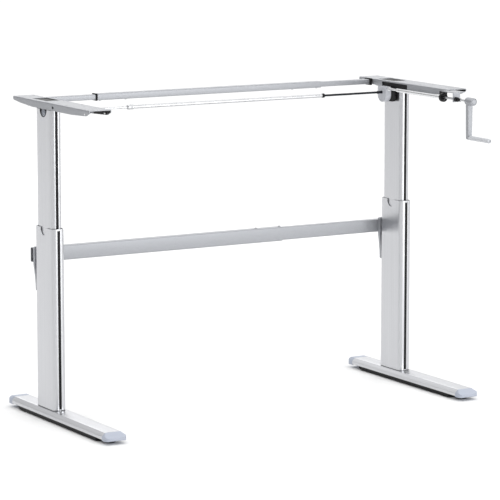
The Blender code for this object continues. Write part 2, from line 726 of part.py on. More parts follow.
def crank(drive, handle, grip):
    """Outer tube on the drum's shaft, the rod that slides in it, arm, hub, pin and grip."""
    profile = [
        (0, 0.0147),
        (ROD_R, 0.0147),
        (ROD_R, -0.0276),
        (SHAFT_R, -0.0276),
        (SHAFT_R, -0.031),
        (ROD_R, -0.031),
        (ROD_R, -0.082),
        (SHAFT_R, -0.082),
        (SHAFT_R, CRANK_TUBE_END),
        (TUBE_BORE_R - 0.0001, CRANK_TUBE_END),
        (TUBE_BORE_R - 0.0001, -0.090),
        (0, -0.090),
    ]
    finish(turned("crank_tube", profile, "Y", steps=24), drive, SILVER)
    rod_front = HUB_BACK - 0.0247
    finish(cylinder("crank_rod", ROD_R, "Y", -0.120, rod_front), handle, STEEL)
    hub_profile = [
        (0, HUB_BACK),
        (0.011, HUB_BACK),
        (HUB_R, HUB_BACK - 0.002),
        (HUB_R, -0.541),
        (0.0105, -0.543),
        (0.0105, HUB_FRONT + 0.002),
        (0.0085, HUB_FRONT),
        (0, HUB_FRONT),
    ]
    hub = turned("crank_arm", hub_profile, "Y")
    outline = arc((0, 0), ARM_TOP_HALF, 180, 0, 8)
    outline += arc((0, -CRANK_RADIUS), ARM_END_HALF, 0, -180, 10)
    arm = extruded("crank_arm_bar", [outline], "Y", *ARM_Y)
    pin = cylinder("crank_arm_pin", ROD_R, "Y", -0.535, PIN_END, (0, 0, -CRANK_RADIUS))
    combine(hub, [arm, pin], "UNION")
    bore = cylinder("crank_arm_bore", ROD_R + GAP, "Y", HUB_BACK + 0.01, rod_front - GAP)
    finish(combine(hub, [bore], "DIFFERENCE"), handle, SILVER)
    dome = [
        (GRIP_R * math.cos(math.radians(a)), GRIP_FRONT + 0.005 - 0.005 * math.sin(math.radians(a)))
        for a in (20, 40, 60, 75)
    ]
    grip_profile = [
        (ROD_R + GAP, GRIP_BACK),
        (GRIP_R - 0.001, GRIP_BACK),
        (GRIP_R, GRIP_BACK - 0.001),
        (GRIP_R, GRIP_FRONT + 0.005),
        *dome,
        (0, GRIP_FRONT),
        (0, GRIP_FRONT + 0.0055),
        (ROD_R + GAP, GRIP_FRONT + 0.0055),
    ]
    finish(turned("crank_grip", grip_profile, "Y", steps=24, closed=True), grip, PALE)


for old in list(bpy.data.objects):
    bpy.data.objects.remove(old)
FRAME = new_collection("desk_frame")
CUTTERS = new_collection("cutters")

half_spacing = LEG_SPACING / 2
left_base = body("left_base_body", None, (-half_spacing, COLUMN_Y, 0))
right_base = body("right_base_body", None, (half_spacing, COLUMN_Y, 0))
left_top = body("left_top_body", left_base, (0, 0, 0))
right_top = body("right_top_body", right_base, (0, 0, 0))

leg_base("left", left_base, LOWER_BAR_Y - LOWER_BAR_OUTER_SIZE[0] / 2 - GAP)
leg_base("right", right_base, LOWER_BAR_Y - LOWER_BAR_INNER_SIZE[0] / 2 - GAP)
leg_top("left", left_top, 1)
leg_top("right", right_top, -1)
for side, base, top in (("left", left_base, left_top), ("right", right_base, right_top)):
    spindle(side, body(f"{side}_screw_body", top, (0, 0, 0)))
    for end, y in (("front", LEVELLER_FRONT), ("rear", LEVELLER_REAR)):
        pad_body = body(f"{side}_{end}_leveller_body", base, (0, y, 0))
        finish(leveller(f"{side}_{end}_leveller"), pad_body, RUBBER)
lower_crossbar(left_base, right_base)
upper_crossbar(left_top, right_top)
cross_shaft(
    body("cross_shaft_body", left_top, (0, 0, SHAFT_Z)),
    body("hex_shaft_body", right_top, (0, 0, SHAFT_Z)),
)
crank_housing(right_top)
crank_drive = body("crank_drive_body", right_top, (CRANK_X, 0, CRANK_Z))
crank_handle = body("crank_body", crank_drive, (0, 0, 0))
crank(crank_drive, crank_handle, body("crank_grip_body", crank_handle, (0, 0, -CRANK_RADIUS)))
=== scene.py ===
import math

import bmesh
import bpy
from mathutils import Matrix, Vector


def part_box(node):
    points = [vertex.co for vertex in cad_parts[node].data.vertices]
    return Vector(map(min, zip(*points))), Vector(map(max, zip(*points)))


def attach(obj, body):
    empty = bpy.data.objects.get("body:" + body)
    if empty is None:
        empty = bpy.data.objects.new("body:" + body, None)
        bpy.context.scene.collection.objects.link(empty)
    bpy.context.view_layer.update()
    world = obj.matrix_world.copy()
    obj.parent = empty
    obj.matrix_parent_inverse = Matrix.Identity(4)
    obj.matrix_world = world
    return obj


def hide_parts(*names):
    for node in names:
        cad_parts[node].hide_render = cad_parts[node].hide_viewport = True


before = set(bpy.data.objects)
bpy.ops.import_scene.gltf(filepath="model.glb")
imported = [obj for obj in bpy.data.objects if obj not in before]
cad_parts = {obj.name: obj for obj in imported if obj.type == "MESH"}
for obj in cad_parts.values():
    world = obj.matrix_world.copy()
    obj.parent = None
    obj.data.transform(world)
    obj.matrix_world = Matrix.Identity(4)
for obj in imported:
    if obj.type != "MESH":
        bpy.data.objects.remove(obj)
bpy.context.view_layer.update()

# ---------------------------------------------------------------------------------------------
# Feet. Each is an extruded aluminium bar, sawn to length and anodised, flat on top with a bevel
# along both sides. Die lines run along it, and the anodised skin makes the metal pale and soft.


def linear(code):
    """An sRGB hex colour as linear red, green, blue and alpha."""
    parts = [int(code[i : i + 2], 16) / 255 for i in (1, 3, 5)]
    curve = [c / 12.92 if c <= 0.04045 else ((c + 0.055) / 1.055) ** 2.4 for c in parts]
    return (*curve, 1.0)


def add(tree, kind, links=None, **settings):
    """Adds a node. A setting is one of its inputs or one of its properties."""
    node = tree.nodes.new(kind)
    for name, value in settings.items():
        label = name.replace("_", " ")
        if label in node.inputs:
            node.inputs[label].default_value = value
        else:
            setattr(node, name, value)
    for name, socket in (links or {}).items():
        tree.links.new(socket, node.inputs[name])
    return node


def new_finish(name, **settings):
    """A material with a Principled shader, ready for its pattern. Returns it, its tree and shader."""
    material = bpy.data.materials.new(name)
    material.use_nodes = True
    shader = material.node_tree.nodes["Principled BSDF"]
    for label, value in settings.items():
        shader.inputs[label.replace("_", " ")].default_value = value
    return material, material.node_tree, shader


def grain(tree, size_mm, detail=3.0, rough=0.55):
    """Noise whose lumps are size_mm long along X, Y and Z."""
    place = add(tree, "ShaderNodeTexCoord")
    scale = [1000 / size for size in size_mm]
    stretch = add(tree, "ShaderNodeMapping", {"Vector": place.outputs["Object"]}, Scale=scale)
    return add(
        tree,
        "ShaderNodeTexNoise",
        {"Vector": stretch.outputs["Vector"]},
        Scale=1.0,
        Detail=detail,
        Roughness=rough,
    )


def tint(tree, shader, factor, low, high, span=(0.35, 0.65)):
    """Colours the shader between two hex colours by a pattern."""
    ramp = add(tree, "ShaderNodeValToRGB", {"Fac": factor})
    ramp.color_ramp.elements[0].position = span[0]
    ramp.color_ramp.elements[0].color = linear(low)
    ramp.color_ramp.elements[1].position = span[1]
    ramp.color_ramp.elements[1].color = linear(high)
    tree.links.new(ramp.outputs["Color"], shader.inputs["Base Color"])


def vary_roughness(tree, shader, factor, low, high):
    scale = add(tree, "ShaderNodeMapRange", {"Value": factor}, To_Min=low, To_Max=high)
    tree.links.new(scale.outputs["Result"], shader.inputs["Roughness"])


def emboss(tree, shader, height, depth_mm, strength):
    """Raises the surface by a pattern that is depth_mm deep."""
    bump = add(
        tree, "ShaderNodeBump", {"Height": height}, Strength=strength, Distance=depth_mm / 1000
    )
    tree.links.new(bump.outputs["Normal"], shader.inputs["Normal"])


def anodised_aluminium(name, lump_mm):
    """Extruded and satin anodised: streaks along the extrusion, soft broad highlights.

    Real die streaks are finer; these are as coarse as they need to be to show.
    """
    material, tree, shader = new_finish(name, Metallic=1.0)
    streaks = grain(tree, lump_mm, 4.0, 0.6)
    tint(tree, shader, streaks.outputs["Fac"], "#C6C7CA", "#D2D3D6")
    vary_roughness(tree, shader, streaks.outputs["Fac"], 0.27, 0.37)
    emboss(tree, shader, streaks.outputs["Fac"], 0.02, 0.35)
    return material


def solid(name, bm):
    """An object from a bmesh, with its faces pointing out."""
    bmesh.ops.recalc_face_normals(bm, faces=bm.faces)
    mesh = bpy.data.meshes.new(name)
    bm.to_mesh(mesh)
    bm.free()
    obj = bpy.data.objects.new(name, mesh)
    bpy.context.scene.collection.objects.link(obj)
    return obj


PLACES = {
    "X": lambda u, v, w: (w, u, v),
    "Y": lambda u, v, w: (u, w, v),
    "Z": lambda u, v, w: (u, v, w),
}


def prism(name, outlines, along, start, end):
    """A bar of one outline, or a tube of an outer and an inner one with as many points."""
    bm = bmesh.new()
    rings = []
    for outline in outlines:
        for w in (start, end):
            rings.append([bm.verts.new(PLACES[along](u, v, w)) for u, v in outline])
    count = len(outlines[0])
    for k in range(len(outlines)):
        low, high = rings[2 * k], rings[2 * k + 1]
        for i in range(count):
            j = (i + 1) % count
            bm.faces.new((low[i], low[j], high[j], high[i]))
    for k in (0, 1):
        if len(outlines) == 1:
            bm.faces.new(rings[k])
            continue
        for i in range(count):
            j = (i + 1) % count
            bm.faces.new((rings[k][i], rings[k][j], rings[2 + k][j], rings[2 + k][i]))
    return solid(name, bm)


def carve(obj, tools, how="DIFFERENCE"):
    """Cuts or joins an object with others, which are used up."""
    for tool in tools:
        modifier = obj.modifiers.new("carve", "BOOLEAN")
        modifier.operation = how
        modifier.object = tool
    graph = bpy.context.evaluated_depsgraph_get()
    graph.update()
    mesh = bpy.data.meshes.new_from_object(obj.evaluated_get(graph))
    obj.modifiers.clear()
    obj.data = mesh
    for tool in tools:
        bpy.data.objects.remove(tool)
    return obj


def soften(obj, width_mm, segments=3, angle=35):
    """Rounds the sharp edges a little and shades the rest smooth."""
    obj.data.shade_smooth()
    bevel = obj.modifiers.new("soften", "BEVEL")
    bevel.width = width_mm / 1000
    bevel.segments = segments
    bevel.angle_limit = math.radians(angle)
    bevel.harden_normals = True
    return obj


def fit(obj, body, nodes, material):
    """Hangs a finished piece on its body, in place of the CAD nodes that it stands for."""
    obj.data.materials.clear()
    obj.data.materials.append(material)
    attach(obj, body)
    if nodes:
        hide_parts(*nodes)
    return obj


def arc(centre, radius, start, end, steps):
    """Points on an arc between two angles in degrees."""
    turns = [math.radians(start + (end - start) * i / steps) for i in range(steps + 1)]
    return [(centre[0] + radius * math.cos(a), centre[1] + radius * math.sin(a)) for a in turns]


SIDES = ("left", "right")
foot_metal = anodised_aluminium("foot_extrusion", (0.9, 400, 0.9))
leg_x = {side: sum(c.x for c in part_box(f"{side}_outer_column")) / 2 for side in SIDES}
column_y = sum(c.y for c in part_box("left_outer_column")) / 2


FOOT_WALL = 0.0022
SIDE_DROP = 0.0120
KNEE = (0.0035, 0.0075)
BEVEL_TOP = (0.0300, 0.0022)
STEP = (0.0285, 0.0003)
FLAT_HALF = 0.0262
DIE_LINES = (0.0200, 0.0100)
DIE_LINE_HALF = 0.0006
DIE_LINE_DEPTH = 0.0004
STEM_HOLE_R = 0.0045


def foot_outline(x, low, high, inset):
    """The foot's section: upright sides, a bevel, and a low step up to the flat top."""
    wide = (high.x - low.x) / 2 - inset
    top, bottom = high.z - inset, low.z + inset
    slope = inset * 0.5
    half = [
        (wide, bottom),
        (wide, high.z - SIDE_DROP - slope),
        (wide - KNEE[0], high.z - KNEE[1] - slope),
        (BEVEL_TOP[0] - slope, high.z - BEVEL_TOP[1] - inset),
        (STEP[0] - slope, top - STEP[1]),
        (FLAT_HALF, top),
    ]
    depth = 0 if inset else DIE_LINE_DEPTH
    for line in DIE_LINES:
        half += [(line + DIE_LINE_HALF, top), (line, top - depth), (line - DIE_LINE_HALF, top)]
    return [(x + u, z) for u, z in half] + [(x - u, z) for u, z in reversed(half)]


for side in SIDES:
    low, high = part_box(f"{side}_foot")
    shell = [foot_outline(leg_x[side], low, high, inset) for inset in (0, FOOT_WALL)]
    bar = prism(f"{side}_foot_bar", shell, "Y", low.y, high.y)
    stems = []
    for i, end in enumerate(("front", "rear")):
        y = sum(c.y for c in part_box(f"{side}_{end}_leveller")) / 2
        hole = arc((leg_x[side], y), STEM_HOLE_R, 0, 345, 23)
        stems.append(prism(f"{side}_stem_hole_{i}", [hole], "Z", 0.01, 0.028))
    soften(carve(bar, stems), 0.35, 3, 12)
    fit(bar, f"{side}_base", [f"{side}_foot"], foot_metal)

# ---------------------------------------------------------------------------------------------
# Foot cover strips. Black foam-backed PVC strips glued under the bars between the levelling feet.
# They close the extrusion's underside and stop just above the floor, so that the gap stays dark: their
# depth below the bar is painted shadow, a black sheet standing in for the contact shadow under each
# foot.


def rounded(width, height, radius, centre=(0, 0), steps=10):
    """A rectangle with round corners."""
    points = []
    for turn, (sx, sy) in enumerate(((1, 1), (-1, 1), (-1, -1), (1, -1))):
        corner = (centre[0] + sx * (width / 2 - radius), centre[1] + sy * (height / 2 - radius))
        points += arc(corner, radius, 90 * turn, 90 * turn + 90, steps)
    return points


def black_moulding(name, rough):
    """Black plastic with a moulded grain, a little grey where light rakes over it.

    The grain is drawn coarser than the real one, so that it shows.
    """
    material, tree, shader = new_finish(name, IOR=1.53, Specular_IOR_Level=0.22)
    texture = grain(tree, (0.6, 0.6, 0.6), 3.0)
    tint(tree, shader, texture.outputs["Fac"], "#0B0B0D", "#131316")
    vary_roughness(tree, shader, texture.outputs["Fac"], rough, rough + 0.2)
    emboss(tree, shader, texture.outputs["Fac"], 0.04, 0.4)
    return material


STRIP_WIDTH = 0.076
# The strips reach down to this height so that their black fills the gap under each foot: painted
# shadow.
SHADOW_STRIP_UNDERSIDE = 0.0035
PAD_CLEARANCE = 0.004
strip_plastic = black_moulding("groove_strip_pvc", 0.42)
for side in SIDES:
    low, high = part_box(f"{side}_foot")
    x = leg_x[side]
    ends = [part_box(f"{side}_{end}_leveller") for end in ("front", "rear")]
    start, end = ends[0][1].y + PAD_CLEARANCE, ends[1][0].y - PAD_CLEARANCE
    outline = rounded(STRIP_WIDTH, end - start, 0.006, (x, (start + end) / 2))
    strip = prism(f"{side}_foot_shadow_strip", [outline], "Z", SHADOW_STRIP_UNDERSIDE, low.z - 0.0001)
    soften(strip, 0.8, 2)
    fit(strip, f"{side}_base", [], strip_plastic)

# ---------------------------------------------------------------------------------------------
# Foot end caps. Injection-moulded polypropylene in a pale bluish grey, pushed into the bar's ends.
# They are rounded in plan; the front one slopes down to the floor, the rear one is upright.


def moulded_grey(name, low, high, rough):
    """Moulded plastic with a spark-eroded texture, which blurs its highlights.

    The texture is drawn coarser than the real one, so that it shows.
    """
    material, tree, shader = new_finish(name, IOR=1.49, Specular_IOR_Level=0.45)
    texture = grain(tree, (0.5, 0.5, 0.5), 2.0)
    tint(tree, shader, texture.outputs["Fac"], low, high)
    vary_roughness(tree, shader, texture.outputs["Fac"], rough, rough + 0.14)
    emboss(tree, shader, texture.outputs["Fac"], 0.03, 0.5)
    return material


CAP_SKIRT = 0.011
cap_plastic = moulded_grey("polypropylene_cap", "#A8AEBB", "#B2B8C5", 0.42)


def end_cap(name, low, high, seam, tip, sloped, corner, section):
    """A cap between its seam and its tip, cut to the bar's section and rounded in plan."""
    way = 1 if tip > seam else -1
    crown = high.z
    if sloped:
        shoulder, knee = (seam + way * 0.003, crown - 0.0004), low.z + 0.0085
    else:
        shoulder, knee = (tip - way * 0.006, crown - 0.0002), crown - 0.007
    side_view = [
        (seam, low.z),
        (seam, crown),
        shoulder,
        (tip - way * 0.0012, knee + 0.0022),
        (tip, knee - 0.002),
        (tip, low.z + 0.002),
        (tip - way * 0.002, low.z),
    ]
    cap = prism(name, [side_view], "X", low.x - 0.01, high.x + 0.01)
    reach = abs(tip - seam) + 2 * corner
    middle = ((low.x + high.x) / 2, tip - way * reach / 2)
    outline = rounded(high.x - low.x, reach, corner, middle)
    plan = prism(name + "_plan", [outline], "Z", low.z - 0.01, crown + 0.01)
    across = prism(name + "_section", [section], "Y", seam - 0.1, seam + 0.1)
    return carve(cap, [plan, across], "INTERSECT")


for side in SIDES:
    bar_low, bar_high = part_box(f"{side}_foot")
    section = foot_outline(leg_x[side], bar_low, bar_high, 0)
    section[0] = (section[0][0], CAP_SKIRT)
    section[-1] = (section[-1][0], CAP_SKIRT)
    for end, corner in (("front", 0.015), ("rear", 0.010)):
        low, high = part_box(f"{side}_foot_{end}_cap")
        seam, tip = (high.y, low.y) if end == "front" else (low.y, high.y)
        name = f"{side}_{end}_end_cap"
        cap = end_cap(name, low, high, seam, tip, end == "front", corner, section)
        soften(cap, 1.1, 4, 25)
        fit(cap, f"{side}_base", [f"{side}_foot_{end}_cap"], cap_plastic)

# ---------------------------------------------------------------------------------------------
# Levelling feet. Hard black rubber pads moulded on threaded stems, screwed up into the bars.


def rubber(name):
    """Moulded rubber, dull with a dusty bloom."""
    material, tree, shader = new_finish(name, IOR=1.52, Specular_IOR_Level=0.3)
    bloom = grain(tree, (3, 3, 3), 5.0)
    tint(tree, shader, bloom.outputs["Fac"], "#161617", "#232325")
    vary_roughness(tree, shader, bloom.outputs["Fac"], 0.72, 0.92)
    emboss(tree, shader, bloom.outputs["Fac"], 0.05, 0.4)
    return material


def turned(name, profile, along, at, steps=48):
    """A turned piece. The profile is (radius, place along the axis), closed on itself."""
    bm = bmesh.new()
    rings = []
    for radius, place in profile:
        if radius < 1e-7:
            rings.append([bm.verts.new(PLACES[along](0, 0, place))])
            continue
        circle = arc((0, 0), radius, 0, 360 - 360 / steps, steps - 1)
        rings.append([bm.verts.new(PLACES[along](u, v, place)) for u, v in circle])
    for a, b in zip(rings, rings[1:] + rings[:1]):
        if len(a) == 1 and len(b) == 1:
            continue
        for i in range(steps):
            j = (i + 1) % steps
            corners = [a[i % len(a)], a[j % len(a)], b[j % len(b)], b[i % len(b)]]
            bm.faces.new(list(dict.fromkeys(corners)))
    bmesh.ops.translate(bm, verts=bm.verts, vec=Vector(at))
    return solid(name, bm)


pad_rubber = rubber("leveller_rubber")
for side in SIDES:
    for end in ("front", "rear"):
        low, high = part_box(f"{side}_{end}_leveller")
        at = ((low.x + high.x) / 2, (low.y + high.y) / 2, 0)
        radius = (high.x - low.x) / 2
        profile = [
            (0, high.z),
            (0.004, high.z),
            (0.004, 0.0147),
            (0.013, 0.0146),
            (radius - 0.001, 0.0118),
            (radius, 0.0104),
            (radius - 0.0004, 0.0070),
            (radius, 0.0060),
            (radius, 0.0014),
            (radius - 0.0012, 0),
            (0, 0),
        ]
        pad = soften(turned(f"{side}_{end}_levelling_foot", profile, "Z", at), 0.25, 2)
        fit(pad, f"{side}_{end}_foot_pad", [f"{side}_{end}_leveller"], pad_rubber)

# ---------------------------------------------------------------------------------------------
# Outer columns. Tall aluminium extrusions with generous front corners and a groove down the front,
# notched at the top on both sides so that the shaft's housing can sink into them. A thin black
# gasket seals each against its foot.


def dress(node, material):
    """Gives a CAD node its finish."""
    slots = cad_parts[node].data.materials
    slots.clear()
    slots.append(material)


COLUMN_WALL = 0.0025
GROOVE_HALF = 0.005
GROOVE_DEPTH = 0.0014
GROOVE_LIP = 0.0004
OUTER_CORNER = 0.016
OUTER_NOTCH = (0.0205, 0.6305)


def grooved(outline, front):
    """Lets a square groove into the front of a column's outline."""
    kept = [p for p in outline if not (abs(p[0]) < GROOVE_HALF and p[1] < 0)]
    cut = next(i for i, (a, b) in enumerate(zip(kept, kept[1:])) if a[0] < 0 < b[0] and a[1] < 0)
    groove = [
        (-GROOVE_HALF - GROOVE_LIP, front),
        (-GROOVE_HALF, front + GROOVE_LIP),
        (-GROOVE_HALF, front + GROOVE_DEPTH),
        (GROOVE_HALF, front + GROOVE_DEPTH),
        (GROOVE_HALF, front + GROOVE_LIP),
        (GROOVE_HALF + GROOVE_LIP, front),
    ]
    return kept[: cut + 1] + groove + kept[cut + 1 :]


def column(name, x, low, high, corner, notch):
    """A grooved extrusion with a notch, (half width, bottom), in each side at its top."""
    wide, deep = high.x - low.x, high.y - low.y
    outer = grooved(rounded(wide, deep, corner), -deep / 2)
    inner = rounded(wide - 2 * COLUMN_WALL, deep - 2 * COLUMN_WALL, corner - COLUMN_WALL)
    place = [[(x + u, column_y + v) for u, v in points] for points in (outer, inner)]
    tube = prism(name, place[:1], "Z", low.z, high.z)
    hollow = prism(name + "_hollow", place[1:], "Z", low.z - 0.01, high.z + 0.01)
    half, bottom = notch
    slot = arc((0, bottom + half), half, 180, 360, 28)
    slot += [(half, high.z + 0.01), (-half, high.z + 0.01)]
    slot = [(column_y + u, v) for u, v in slot]
    return carve(tube, [hollow, prism(name + "_notch", [slot], "X", x - 0.05, x + 0.05)])


column_metal = anodised_aluminium("column_extrusion", (0.9, 0.9, 500))
seal_plastic = black_moulding("nylon_glide", 0.5)
for side in SIDES:
    body = f"{side}_base"
    low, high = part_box(f"{side}_outer_column")
    tube = column(f"{side}_outer_tube", leg_x[side], low, high, OUTER_CORNER, OUTER_NOTCH)
    soften(tube, 0.3, 2, 40)
    fit(tube, body, [f"{side}_outer_column"], column_metal)
    dress(f"{side}_column_gasket", seal_plastic)
    dress(f"{side}_column_glide", seal_plastic)

# ---------------------------------------------------------------------------------------------
# Groove strips. Black PVC extrusions pressed into both columns' front grooves, with a shallow
# hollow down the middle.
for side in SIDES:
    for part, body in (("outer", "base"), ("inner", "top")):
        low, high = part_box(f"{side}_{part}_strip")
        x = leg_x[side]
        section = [
            (low.x, low.y + 0.0003),
            (low.x + 0.0006, low.y),
            (x - 0.0016, low.y + 0.0002),
            (x, low.y + 0.0004),
            (x + 0.0016, low.y + 0.0002),
            (high.x - 0.0006, low.y),
            (high.x, low.y + 0.0003),
            (high.x, high.y),
            (low.x, high.y),
        ]
        strip = prism(f"{side}_{part}_groove_strip", [section], "Z", low.z, high.z)
        soften(strip, 0.15, 2, 50)
        fit(strip, f"{side}_{body}", [f"{side}_{part}_strip"], strip_plastic)

# ---------------------------------------------------------------------------------------------
# Inner columns. The same extrusion one size down, sliding in the outer ones, notched at the top for
# the gear head.
INNER_CORNER = 0.014
INNER_NOTCH = (0.0255, 1.029)
for side in SIDES:
    low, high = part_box(f"{side}_inner_column")
    tube = column(f"{side}_inner_tube", leg_x[side], low, high, INNER_CORNER, INNER_NOTCH)
    soften(tube, 0.3, 2, 40)
    fit(tube, f"{side}_top", [f"{side}_inner_column"], column_metal)

# ---------------------------------------------------------------------------------------------
# Lifting screws. Bright steel spindles under the gear heads, in nylon nuts on steel tubes that stand
# in the columns.


def zinc_plate(name, low, high, metallic=1.0):
    """Steel turned and zinc plated: bright and slightly clouded, with a faint bump from the same
    clouding.
    """
    material, tree, shader = new_finish(name, Metallic=metallic)
    cloud = grain(tree, (6, 6, 6), 4.0)
    tint(tree, shader, cloud.outputs["Fac"], low, high)
    vary_roughness(tree, shader, cloud.outputs["Fac"], 0.22, 0.36)
    emboss(tree, shader, cloud.outputs["Fac"], 0.02, 0.25)
    return material


bright_zinc = zinc_plate("zinc_plated_steel", "#B9BABC", "#CDCED0")
for side in SIDES:
    dress(f"{side}_spindle", bright_zinc)
    dress(f"{side}_nut_tube", bright_zinc)
    dress(f"{side}_spindle_nut", seal_plastic)

# ---------------------------------------------------------------------------------------------
# Lower crossbar. A rectangular steel tube with a narrower one sliding in it, both powder coated
# silver, bolted behind the columns through tapered plates and locked by clamp screws.


def silver_powder_coat(name, low="#97999E", high="#A5A7AB"):
    """Silver powder coat: aluminium flake in a polyester coat, with a fine orange-peel surface."""
    material, tree, shader = new_finish(name, Metallic=0.45, Coat_Weight=0.15, Coat_Roughness=0.3)
    flake = grain(tree, (0.7, 0.7, 0.7), 1.0)
    tint(tree, shader, flake.outputs["Fac"], low, high, (0.4, 0.6))
    peel = grain(tree, (2.2, 2.2, 2.2), 1.0)
    vary_roughness(tree, shader, flake.outputs["Fac"], 0.36, 0.48)
    emboss(tree, shader, peel.outputs["Fac"], 0.03, 0.3)
    return material


RECESS_HALF = (0.0021, 0.0005)
RECESS_DEPTH = 0.0012
PLATE_TAPER = 0.008
coat = silver_powder_coat("silver_powder_coat")


def rect_tube(name, low, high, radius, wall):
    """A rectangular tube along X that fills a box."""
    deep, tall = high.y - low.y, high.z - low.z
    centre = ((low.y + high.y) / 2, (low.z + high.z) / 2)
    outer = rounded(deep, tall, radius, centre, 6)
    inner = rounded(deep - 2 * wall, tall - 2 * wall, max(radius - wall, 0.0006), centre, 6)
    return prism(name, [outer, inner], "X", low.x, high.x)


def block(name, low, high):
    """A block between two corners."""
    outline = [(low[0], low[1]), (high[0], low[1]), (high[0], high[1]), (low[0], high[1])]
    return prism(name, [outline], "Z", low[2], high[2])


def clamp_screw(name, node, body, material, way):
    """A pan-head clamp screw with a cross recess, on a short washer."""
    low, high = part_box(node)
    x, y = (low.x + high.x) / 2, (low.y + high.y) / 2
    radius = (high.x - low.x) / 2
    tall = high.z - low.z
    base = low.z if way > 0 else high.z
    dome = [(0, 1), (0.45, 0.98), (0.72, 0.86), (0.86, 0.6), (0.88, 0.25)]
    washer = [(1, 0.22), (1, 0), (0, 0)]
    profile = [(radius * r, base + way * tall * h) for r, h in dome + washer]
    head = turned(name, profile, "Z", (x, y, 0), 32)
    tip = base + way * tall
    low_z, high_z = sorted((tip + way * 0.001, tip - way * RECESS_DEPTH))
    for k, (along, across) in enumerate((RECESS_HALF, RECESS_HALF[::-1])):
        corners = (x - along, y - across, low_z), (x + along, y + across, high_z)
        carve(head, [block(f"{name}_recess_{k}", *corners)])
    soften(head, 0.15, 2)
    return fit(head, body, [node], material)


for node, body, radius, wall in (
    ("lower_bar_outer", "left_base", 0.004, 0.002),
    ("lower_bar_inner", "right_base", 0.003, 0.0016),
):
    tube = rect_tube(node + "_tube", *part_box(node), radius, wall)
    soften(tube, 0.3, 2, 40)
    fit(tube, body, [node], coat)
for i in (1, 2):
    clamp_screw(f"lower_clamp_screw_{i}", f"lower_bar_screw_{i}", "left_base", bright_zinc, 1)
for side in SIDES:
    low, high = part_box(f"{side}_bar_bracket")
    shoulder = low.z + 0.6 * (high.z - low.z)
    wide, narrow = (high.x - low.x) / 2, (high.x - low.x) / 2 - PLATE_TAPER
    flank = [(wide - 0.004, high.z), (wide, high.z - 0.004), (wide, shoulder)]
    for k in range(1, 13):
        t = k / 12
        inward = PLATE_TAPER * math.sin(t * math.pi / 2)
        flank.append((wide - inward, shoulder + (low.z - shoulder) * t))
    flank[-1] = (narrow, low.z + 0.003)
    flank.append((narrow - 0.003, low.z))
    outline = [(leg_x[side] + u, z) for u, z in flank]
    outline += [(leg_x[side] - u, z) for u, z in reversed(flank)]
    plate = prism(f"{side}_bar_plate", [outline], "Y", low.y, high.y)
    soften(plate, 0.8, 3)
    fit(plate, f"{side}_base", [f"{side}_bar_bracket"], coat)

# ---------------------------------------------------------------------------------------------
# Gear heads. Black glass-filled nylon housings in the columns' tops; the block on each carries its
# rail.
head_plastic = black_moulding("glass_filled_nylon", 0.38)
cover_plastic = moulded_grey("bearing_cover_acetal", "#8E939C", "#9A9FA8", 0.35)
SHAFT_Z = 1.0455
for side, outside in (("left", -1), ("right", 1)):
    dress(f"{side}_gear_head", head_plastic)
    at = (leg_x[side], column_y, SHAFT_Z)
    profile = [(0, 0.0175), (0.0140, 0.0175), (0.0140, 0.0188), (0.0122, 0.0196), (0.0085, 0.0197)]
    profile += [(0.0080, 0.0190), (0.0048, 0.0190), (0.0040, 0.0199), (0, 0.0199)]
    profile = [(r, outside * w) for r, w in profile]
    cover = soften(turned(f"{side}_bearing_cover", profile, "X", at), 0.2, 2)
    fit(cover, f"{side}_top", [], cover_plastic)

# ---------------------------------------------------------------------------------------------
# Top rails. Channels folded from steel sheet, tapered at both ends, with an opening over the gear
# head, a window towards the other leg and screw holes for the desktop, powder coated silver.


def rail_side_view(low, high):
    """The rail's taper, seen from the side."""
    return [
        (low.y, high.z + 0.001),
        (low.y, high.z - 0.0094),
        (low.y + 0.025, low.z + 0.0045),
        (low.y + 0.129, low.z),
        (high.y - 0.148, low.z),
        (high.y - 0.054, low.z + 0.0062),
        (high.y - 0.006, low.z + 0.0115),
        (high.y, low.z + 0.0160),
        (high.y, high.z + 0.001),
    ]


def channel_section(x, half, low, high, wall, bend):
    """An upside-down U with round bends."""
    outer = arc((x + half - bend, high - bend), bend, 0, 90, 6)
    outer += arc((x - half + bend, high - bend), bend, 90, 180, 6)
    small = bend - wall
    inner = arc((x - half + bend, high - bend), small, 180, 90, 6)
    inner += arc((x + half - bend, high - bend), small, 90, 0, 6)
    return [
        (x + half, low),
        *outer,
        (x - half, low),
        (x - half + wall, low),
        *inner,
        (x + half - wall, low),
    ]


